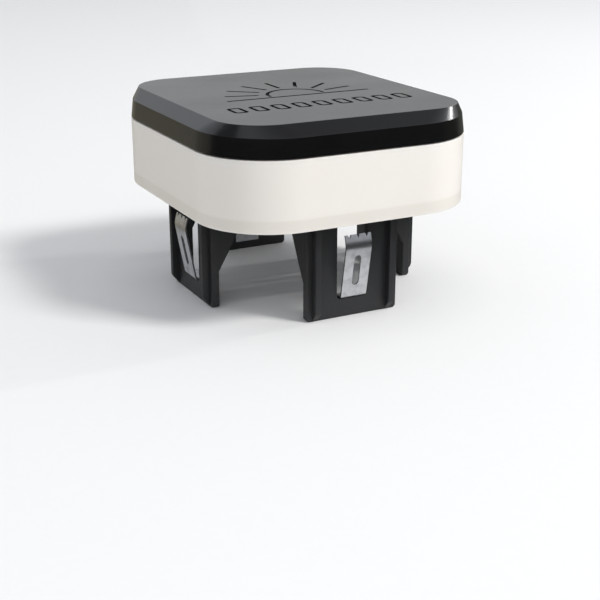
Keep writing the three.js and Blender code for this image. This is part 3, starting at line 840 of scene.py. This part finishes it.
def make_screw(node):
    """A pan-head screw with a cross recess and a cut thread."""
    low, high, x, y = extent(node)
    head = (high.x - low.x) / 2
    seat = high.z - SCREW.head_height
    neck, neck_bottom = SCREW.neck, seat - 0.6 * MM
    body = turning(node + "_piece", [
        (0, neck_bottom, 0), (neck, neck_bottom, 0), (neck, seat, 0.1), (head, seat, 0.25),
        (head, seat + 0.9 * MM, 0.7), (head * 0.62, high.z, 0.8), (0, high.z, 0),
    ], x, y)
    join(body, threaded_shaft(SCREW.shaft, low.z, seat - 0.3 * MM, x, y))
    cross(body, RECESS.long, RECESS.short, RECESS.corner, high.z - RECESS.depth, high.z + OVERRUN, 0.05, x, y)
    piece(body, "screw_steel", ZINC, node)


def make_bush(node):
    """A rubber bush with grip ribs round its waist and a collar on top."""
    low, high, x, y = extent(node)
    bore, waist, collar = BUSH.bore, BUSH.waist, BUSH.collar
    collar_bottom = high.z - BUSH.collar_height
    ribs = []
    for i in range(BUSH_RIBS.count):
        z = low.z + (BUSH_RIBS.first + BUSH_RIBS.pitch * i) * MM
        ribs += [(waist, z, 0.05), (BUSH.rib, z + 0.4 * MM, 0.2), (waist, z + 0.8 * MM, 0.05)]
    body = turning(node + "_piece", [
        (bore, low.z, 0.2), (waist, low.z, 0.3), *ribs, (waist, collar_bottom, 0.1),
        (collar, collar_bottom, 0.3), (collar, high.z, 0.4), (bore, high.z, 0.4),
    ], x, y, closed=True)
    piece(body, "gasket_rubber", RUBBER, node)


# ---- circuit board and what stands on it

LED_COUNT = 12
BOARD_CORNER = 8 * MM
CABLE_CUTOUT = 9 * MM  # radius of the board's hole over the gland
BOARD_CUT = (0, 20 * MM)  # heights between which cutters pass the board
TRACK = mm(corner=3.4, lead=1.6)
TRACK_LEVELS = [
    (BOARD_HIGH.z - 0.05 * MM, 1.1 * MM), (BOARD_HIGH.z + 0.04 * MM, 1.1 * MM),
    (BOARD_HIGH.z + 0.06 * MM, 1.06 * MM),
]
FOOT = mm(half_length=0.25, height=0.3)  # an LED's tinned end
END_CAP = mm(x=1.38, half_x=0.22)  # a resistor's tinned end


def make_board():
    body = soft_slab("board", BOARD_HIGH.x, BOARD_HIGH.y, BOARD_CORNER, BOARD_LOW.z, BOARD_HIGH.z,
                     0.08, steps=12)
    drill(body, CABLE_CUTOUT, *BOARD_CUT, 0, CABLE_Y)
    for x, y in quarters(BOARD_SCREW):
        drill(body, CLEARANCE_RADIUS, *BOARD_CUT, x, y)
    piece(body, "board_white", MASK, "led_board")


def make_tracks():
    """Wide copper tracks that join the lamps in a ring, raised a little under the lacquer."""
    places = [extent(f"led_{number:02d}")[2:] for number in range(1, LED_COUNT + 1)]
    places.sort(key=lambda place: atan2(place[1], place[0]))
    for i, start in enumerate(places):
        end = places[(i + 1) % len(places)]
        line = [start, end]
        if all(abs(a - b) > MM for a, b in zip(start, end)):
            wide, tall = (start, end) if abs(start[0]) > abs(end[0]) else (end, start)
            lead = (wide[0], wide[1] + copysign(TRACK.lead, wide[1]))
            turn = (wide[0] - copysign(TRACK.corner, wide[0]), tall[1])
            line = [wide, lead, turn, tall]
        piece(ribbon(f"board_track_{i + 1}", line, TRACK_LEVELS), "board_white", COPPER_MASK)


def make_led(node):
    """A white housing with a round cup, its phosphor and two tinned ends."""
    low, high, x, y = extent(node)
    half_x, half_y = (high.x - low.x) / 2, (high.y - low.y) / 2
    along_x = half_x > half_y
    trim = 0.12 * MM
    body_x = half_x - (trim if along_x else 0)
    body_y = half_y - (0 if along_x else trim)
    housing = soft_slab(node + "_housing", body_x, body_y, 0.2 * MM, low.z, high.z, 0.06, x, y, 3)
    floor_z, mouth_z = high.z - 0.35 * MM, high.z + 0.1 * MM
    cut(housing, turning("cup", [(0, floor_z, 0), (0.85 * MM, floor_z, 0), (1.15 * MM, mouth_z, 0),
                                 (0, mouth_z, 0)], x, y))
    piece(housing, "led_package", HOUSING_WHITE, node)
    fill_bottom = high.z - 0.34 * MM
    fill = turning(node + "_phosphor", [
        (0, fill_bottom, 0), (0.84 * MM, fill_bottom, 0),
        (1.02 * MM, high.z - 0.08 * MM, 0.05), (0, high.z - 0.03 * MM, 0),
    ], x, y)
    piece(fill, "led_package", PHOSPHOR)
    for letter, side in (("a", -1), ("b", 1)):
        offset = side * ((half_x if along_x else half_y) - FOOT.half_length)
        foot_x, foot_y = (x + offset, y) if along_x else (x, y + offset)
        end_x, end_y = (FOOT.half_length, half_y * 0.7) if along_x else (half_x * 0.7, FOOT.half_length)
        foot = soft_slab(f"{node}_foot_{letter}", end_x, end_y, 0.08 * MM, low.z, low.z + FOOT.height,
                         0.03, foot_x, foot_y, 2)
        piece(foot, "screw_steel", TIN)


def make_resistor(node):
    """A black body between two tinned end caps."""
    low, high, x, y = extent(node)
    half_y = (high.y - low.y) / 2
    inset = 0.02 * MM
    body = soft_slab(node + "_body", 1.15 * MM, half_y - 0.03 * MM, 0.06 * MM, low.z + inset, high.z - inset,
                     0.04, x, y, 2)
    piece(body, "component_black", COMPONENT_BLACK, node)
    for letter, side in (("a", -1), ("b", 1)):
        end = soft_slab(f"{node}_end_{letter}", END_CAP.half_x, half_y, 0.08 * MM, low.z, high.z,
                        0.06, x + side * END_CAP.x, y, 2)
        piece(end, "screw_steel", TIN)


def make_rectifier():
    """A moulded bridge with a round mark and four gull-wing leads."""
    low, high, x, y = extent("rectifier")
    bottom = low.z + 0.2 * MM
    waist = (bottom + high.z) / 2
    sections = [(2.15 * MM, 1.25 * MM, bottom), (2.35 * MM, 1.45 * MM, waist), (2.1 * MM, 1.2 * MM, high.z)]
    rings = [moved(rounded_ring(half_x, half_y, 0.1 * MM, z, 2), x, y) for half_x, half_y, z in sections]
    body = skin("rectifier_body", rings)
    cut(body, rod("dot", 0.3 * MM, high.z - 0.1 * MM, high.z + OVERRUN, x - 1.5 * MM, y - 0.6 * MM, sides=16))
    piece(body, "component_black", COMPONENT_BLACK, "rectifier", bevel=0.06)
    reach = (high.y - low.y) / 2
    half, half_width, sole = 0.09 * MM, 0.3 * MM, low.z + 0.1 * MM
    for i, (side_x, side_y) in enumerate(quarters((1, 1))):
        line = [(y + side_y * 1.2 * MM, waist), (y + side_y * 1.62 * MM, waist),
                (y + side_y * 1.72 * MM, sole), (y + side_y * reach, sole)]
        outline = [(a, z + half) for a, z in line]
        outline += [(a - side_y * 0.08 * MM, z - half) for a, z in reversed(line)]
        lead_x = x + side_x * 1.25 * MM
        ends = (lead_x - half_width, lead_x + half_width)
        lead = skin(f"rectifier_lead_{i + 1}", [[Vector((end, *point)) for point in outline] for end in ends])
        piece(lead, "screw_steel", TIN)


def make_capacitor():
    """An aluminium can with a rolled groove, pressure cross and plastic foot."""
    node = "smoothing_capacitor"
    low, high, x, y = extent(node)
    radius, waist, rim = 3.1 * MM, 2.8 * MM, 2.3 * MM
    foot_top = low.z + 1.2 * MM
    bottom, top = foot_top - 0.2 * MM, high.z - 0.12 * MM
    can = turning("capacitor_can_body", [
        (0, bottom, 0), (radius, bottom, 0.2), (radius, foot_top + 0.9 * MM, 0.15),
        (waist, foot_top + 1.2 * MM, 0.2), (radius, foot_top + 1.5 * MM, 0.15),
        (radius, high.z, 0.5), (rim, high.z, 0.15), (rim - 0.1 * MM, top, 0.1), (0, top, 0),
    ], x, y)
    cross(can, 1.7 * MM, 0.12 * MM, 0.05 * MM, high.z - 0.3 * MM, high.z + OVERRUN, 0.02, x, y)
    piece(can, "capacitor_can", CAN, node)
    half = (high.x - low.x) / 2
    foot = soft_slab("capacitor_foot", half, half, 0.7 * MM, low.z, foot_top, 0.12, x, y, 3)
    drill(foot, radius + 0.02 * MM, foot_top - 0.6 * MM, foot_top + OVERRUN, x, y)
    piece(foot, "component_black", COMPONENT_BLACK)


POLE = 2.5 * MM  # from the terminal block's middle to each of its two poles
ENTRY = mm(half_x=1.7, low=1, high=4.4, middle=2.7)
FUNNEL = [(2.1 * MM, -0.01 * MM), (1.6 * MM, 0.7 * MM)]  # half width and depth, mouth first
SCREW_WELL = mm(radius=1.9, depth=3.4, y=0.6)
CAGE = mm(half_x=1.45, half_y=1.3, low=1.15, high=4.2, y=2.4)
CAGE_MOUTH = mm(half_x=1.0, low=1.6, high=3.7, y=1.4)


def make_terminal_block():
    """A two-pole block with funnel mouths, screw wells and a metal cage inside each pole."""
    node = "terminal_block"
    low, high, middle_x, middle_y = extent(node)
    half_x, half_y = (high.x - low.x) / 2, (high.y - low.y) / 2
    body = soft_slab("terminal_body", half_x, half_y, 0.4 * MM, low.z, high.z, 0.3, middle_x, middle_y, 4)
    poles = [middle_x - POLE, middle_x + POLE]
    for x in poles:
        cut(body, soft_slab("entry", ENTRY.half_x, 2.5 * MM, 0.3 * MM, low.z + ENTRY.low,
                            low.z + ENTRY.high, 0.1, x, low.y + 1.5 * MM))
        middle = low.z + ENTRY.middle
        rings = [[Vector((x + sx * half, low.y + depth, middle + sz * half)) for sx, sz in quarters((1, 1))]
                 for half, depth in FUNNEL]
        cut(body, skin("funnel", rings))
        drill(body, SCREW_WELL.radius, high.z - SCREW_WELL.depth, high.z + OVERRUN, x,
              middle_y + SCREW_WELL.y)
    for x in (middle_x - half_x, middle_x, middle_x + half_x):
        cut(body, soft_slab("joint", 0.2 * MM, 3 * MM, 0.1 * MM, low.z - OVERRUN, high.z + OVERRUN, 0.02,
                            x, high.y + 2.7 * MM, 2))
    piece(body, "terminal_green", TERMINAL_GREEN, node)
    for i, x in enumerate(poles):
        cage = soft_slab(f"terminal_cage_{i + 1}", CAGE.half_x, CAGE.half_y, 0.2 * MM, low.z + CAGE.low,
                         low.z + CAGE.high, 0.1, x, low.y + CAGE.y, 3)
        cut(cage, soft_slab("mouth", CAGE_MOUTH.half_x, 2 * MM, 0.1 * MM, low.z + CAGE_MOUTH.low,
                            low.z + CAGE_MOUTH.high, 0.05, x, low.y + CAGE_MOUTH.y, 2))
        piece(cage, "screw_steel", TIN)


def make_terminal_screw(node):
    low, high, x, y = extent(node)
    body = rod(node + "_piece", 1.6 * MM, low.z, high.z, x, y, 0.1, 0.25)
    cut(body, soft_slab("slot", 2 * MM, 0.3 * MM, 0.05 * MM, high.z - 0.8 * MM, high.z + OVERRUN,
                        0.02, x, y, 2))
    piece(body, "screw_steel", ZINC, node)


def make_reflector():
    """A white dish with a window in its floor and a rolled rim."""
    floor_z = DISH_LOW.z + 1.2 * MM
    rim = 1.1 * MM
    window = (13 * MM, 15 * MM, 3 * MM)     # half width, half depth and corner radius
    profile = soften([
        (*window, DISH_LOW.z, 0.2), (21 * MM, 25 * MM, 5 * MM, DISH_LOW.z, 1),
        (DISH_HIGH.x, DISH_HIGH.y, 9 * MM, DISH_HIGH.z, 0.3),
        (DISH_HIGH.x - rim, DISH_HIGH.y - rim, 8.4 * MM, DISH_HIGH.z, 0.3),
        (20.6 * MM, 24.6 * MM, 4.6 * MM, floor_z, 1.2), (*window, floor_z, 0.3),
    ], closed=True)
    body = skin("reflector_dish", [rounded_ring(*p, 14) for p in profile], closed=True)
    for x, y in quarters(BOARD_SCREW):
        drill(body, CLEARANCE_RADIUS, 0, floor_z + OVERRUN, x, y)
    piece(body, "reflector_white", WHITE, "reflector")


# ---- cable gland

GLAND_BORE = 3.6 * MM
GLAND_FLANGE = 5 * MM
GLAND_THREAD = mm(radius=5.85, pitch=1.5, depth=0.5, core=5.5)
GLAND_TAIL = 5.2 * MM  # radius of the tail that the cap screws on
SEAL_BORE = 3 * MM
DOME_LINE = [(5.4, 0, 0.6), (6.9, 1.1, 0.9), (7.4, 3, 0)]  # radius, height above the tip and rounding, in mm
CAP_BORE = mm(wide=5.5, narrow=3.4, floor=1.5)


def hexagon(name, flats, low, high, chamfer=0.7):
    """A hexagonal nut body on the gland's axis, with its corners turned down at both ends."""
    radius = flats / sqrt(3)
    angles = [pi / 2 + i * pi / 3 for i in range(6)]
    outline = [(radius * cos(a), CABLE_Y + radius * sin(a)) for a in angles]
    body = skin(name, [[Vector((*point, z)) for point in outline] for z in (low, high)])
    turned = turning("turned", [
        (0, low, 0), (flats / 2, low, 0), (radius, low + chamfer * MM, 0),
        (radius, high - chamfer * MM, 0), (flats / 2, high, 0), (0, high, 0),
    ], 0, CABLE_Y)
    return combine(body, turned, "INTERSECT")


def gland_tube(name, inner, outer, low, high, edge):
    corners = [(inner, low, edge), (outer, low, edge), (outer, high, edge), (inner, high, edge)]
    return turning(name, corners, 0, CABLE_Y, closed=True)


def make_gland():
    """The gland's threaded body, washer, lock nut, seal and domed cap, one above the other on its axis."""
    low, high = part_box("gland_body")
    flange_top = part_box("gland_washer")[0].z - GAP
    flange_bottom = flange_top - GLAND_FLANGE
    body = hexagon("gland_nipple", high.x - low.x, flange_bottom, flange_top)
    neck = threaded_shaft(GLAND_THREAD.radius, flange_top - 0.5 * MM, high.z, 0, CABLE_Y,
                          GLAND_THREAD.pitch, GLAND_THREAD.depth)
    core = gland_tube("core", GLAND_BORE, GLAND_THREAD.core, flange_top - OVERRUN, high.z, 0.2)
    tail = gland_tube("tail", GLAND_BORE, GLAND_TAIL, low.z, flange_bottom + OVERRUN, 0.3)
    join(body, core, neck, tail)
    drill(body, GLAND_BORE, low.z - OVERRUN, high.z + OVERRUN, 0, CABLE_Y)
    piece(body, "gland_black", GLAND_BLACK, "gland_body")

    low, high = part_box("gland_washer")
    washer = gland_tube("gland_washer_ring", GLAND_HOLE, high.x, low.z, high.z, 0.3)
    piece(washer, "gasket_rubber", RUBBER, "gland_washer")

    low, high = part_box("gland_lock_nut")
    nut = hexagon("gland_nut", high.x - low.x, low.z, high.z, 0.5)
    drill(nut, GLAND_HOLE, low.z - OVERRUN, high.z + OVERRUN, 0, CABLE_Y)
    piece(nut, "gland_black", GLAND_BLACK, "gland_lock_nut")

    low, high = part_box("gland_seal")
    seal = gland_tube("gland_seal_sleeve", SEAL_BORE, high.x, low.z, high.z, 0.5)
    piece(seal, "gasket_rubber", RUBBER, "gland_seal")

    low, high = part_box("gland_cap")
    dome = [(radius * MM, low.z + up * MM, edge) for radius, up, edge in DOME_LINE]
    shoulder = dome[-1][1]
    cap = hexagon("gland_dome_cap", high.x - low.x, shoulder - 0.5 * MM, high.z, 0.6)
    join(cap, turning("dome", [(0, low.z, 0), *dome, (0, shoulder, 0)], 0, CABLE_Y))
    drill(cap, CAP_BORE.wide, low.z + CAP_BORE.floor, high.z + OVERRUN, 0, CABLE_Y)
    drill(cap, CAP_BORE.narrow, low.z - OVERRUN, high.z, 0, CABLE_Y)
    piece(cap, "gland_black", GLAND_BLACK, "gland_cap")


# ---- the studio: azimuth 0 stands towards -Y and 90 towards +X

CAMERA = Table(azimuth=-26.83, distance=0.3831, height=0.094, yaw=27.2, pitch=19.84, lens=70.53)
FLOOR_HALF = 6.0
CARD_STEPS = 24
CARD_START = 0.075  # how near the cap's middle a lying card begins
BLACK_CLOTH = (0.004, 0.004, 0.004)


def make_camera():
    data = bpy.data.cameras.new("camera")
    data.lens = CAMERA.lens
    data.sensor_width = 36
    data.clip_start = 0.01
    camera = add_object("camera", data)
    azimuth = radians(CAMERA.azimuth)
    distance = CAMERA.distance
    camera.location = (distance * sin(azimuth), -distance * cos(azimuth), CAMERA.height)
    camera.rotation_euler = (radians(90 - CAMERA.pitch), 0, radians(-CAMERA.yaw))
    bpy.context.scene.camera = camera


def make_light(name, azimuth, elevation, distance, size, power, reflected=True):
    """A softbox aimed at the cap."""
    data = bpy.data.lights.new(name, "AREA")
    data.shape = "RECTANGLE"
    data.size, data.size_y = size
    data.energy = power
    light = add_object(name, data)
    a, e = radians(azimuth), radians(elevation)
    direction = Vector((sin(a) * cos(e), -cos(a) * cos(e), sin(e)))
    light.location = direction * distance + Vector((0, 0, RING_TOP))
    light.rotation_mode = "QUATERNION"
    light.rotation_quaternion = direction.to_track_quat("Z", "Y")
    light.visible_glossy = reflected


def make_floor():
    bm = bmesh.new()
    corners = quarters((FLOOR_HALF, FLOOR_HALF))
    bm.faces.new([bm.verts.new((x, y, CARRIER_LOW.z)) for x, y in corners])
    floor = finish_mesh(bm, "floor")
    floor.data.materials.append(floor_paper())


def lying_card(distance, top):
    """The section of a card that lies round the cap on the floor, then curves up and stands at a distance."""
    low = CARRIER_LOW.z + 1 * MM
    return [(CARD_START, low), (distance - 0.1, low), (distance - 0.03, low + 0.03), (distance, low + 0.1),
            (distance, top)]


def dark_card(name, start, end, section, color):
    """A card that only reflections see: a section of (reach, z) swept round the cap between two azimuths."""
    bm = bmesh.new()
    columns = []
    for i in range(CARD_STEPS + 1):
        a = radians(start + (end - start) * i / CARD_STEPS)
        columns.append([bm.verts.new((r * sin(a), -r * cos(a), z)) for r, z in section])
    for first, second in zip(columns, columns[1:]):
        for i in range(len(section) - 1):
            bm.faces.new((first[i], first[i + 1], second[i + 1], second[i]))
    card = finish_mesh(bm, name)
    cloth = Surface(name + "_cloth", color, 1.0, Specular_IOR_Level=0.0)
    dim, bright = (tuple(share * c for c in color) for share in (0.8, 1.2))
    cloth.color_from(cloth.mix(cloth.noise(4 * MM), dim, bright))
    card.data.materials.append(cloth.material)
    for ray in ("camera", "diffuse", "shadow", "transmission", "volume_scatter"):
        setattr(card, "visible_" + ray, False)


def make_world():
    """A pale surround, brighter behind the cap and dimmer overhead, with faint clouds above the horizon."""
    world = bpy.data.worlds.new("world")
    bpy.context.scene.world = world
    world.use_nodes = True
    tree = world.node_tree
    background = tree.nodes["Background"]
    direction = add_node(tree, "TexCoord", {})["Generated"]
    height = add_node(tree, "SeparateXYZ", {"Vector": direction})["Z"]
    tone = color_ramp(tree, height, [
        (0.0, (0.74, 0.74, 0.74)), (0.14, (0.74, 0.74, 0.745)), (0.21, (0.83, 0.84, 0.85)),
        (0.46, (1.22, 1.28, 1.38)), (0.9, (0.45, 0.46, 0.48)),
    ])
    drift = add_node(tree, "VectorMath", {0: direction, 1: (3, 3, 0)})[0]
    clouds = add_node(tree, "TexNoise", {"Vector": drift, "Scale": 13, "Detail": 2})["Fac"]
    depth = map_range(tree, height, 0.08, 0.15, 0.0, 0.16)
    swing = map_range(tree, clouds, NOISE_LOW, NOISE_HIGH, -1.0, 1.0)
    shade = add_node(tree, "Math", {0: depth, 1: swing, 2: 1.0}, operation="MULTIPLY_ADD")["Value"]
    color = add_node(tree, "VectorMath", {0: tone, "Scale": shade}, operation="SCALE")[0]
    tree.links.new(color, background.inputs["Color"])
    background.inputs["Strength"].default_value = 0.8


def make_studio():
    make_camera()
    make_world()
    make_floor()
    dark_card("front_card", -110, 60, lying_card(0.6, top=0.11), BLACK_CLOTH)
    dark_card("corner_flag", -114, -72, [(0.6, 0.2), (0.6, 0.37)], BLACK_CLOTH)
    dark_card("right_card", 60, 96, lying_card(0.6, top=0.07), (0.04, 0.04, 0.03))
    dark_card("far_right_card", 96, 160, lying_card(0.6, top=0.07), (0.13, 0.13, 0.11))
    dark_card("left_card", -200, -110, lying_card(1.1, top=0.07), (0.36, 0.33, 0.25))
    make_light("key_softbox", azimuth=40, elevation=45, distance=2.6, size=(0.6, 0.6), power=42.5,
               reflected=False)
    make_light("strip_light", azimuth=86, elevation=19.5, distance=0.9, size=(0.03, 0.12), power=1.2)
    bpy.context.scene.view_settings.view_transform = "Standard"


make_studio()
make_lid()
make_ring()
make_gasket()
make_carrier()
for side_name, side_turn in SIDES:
    make_clip(side_name, side_turn)
make_reflector()
make_board()
make_tracks()
for number in range(1, LED_COUNT + 1):
    make_led(f"led_{number:02d}")
for number in range(1, 5):
    make_bush(f"peg_bush_{number}")
    make_screw(f"diffuser_screw_{number}")
    make_screw(f"board_screw_{number}")
    make_resistor(f"resistor_{number}")
make_terminal_block()
make_terminal_screw("terminal_screw_1")
make_terminal_screw("terminal_screw_2")
make_rectifier()
make_capacitor()
make_gland()
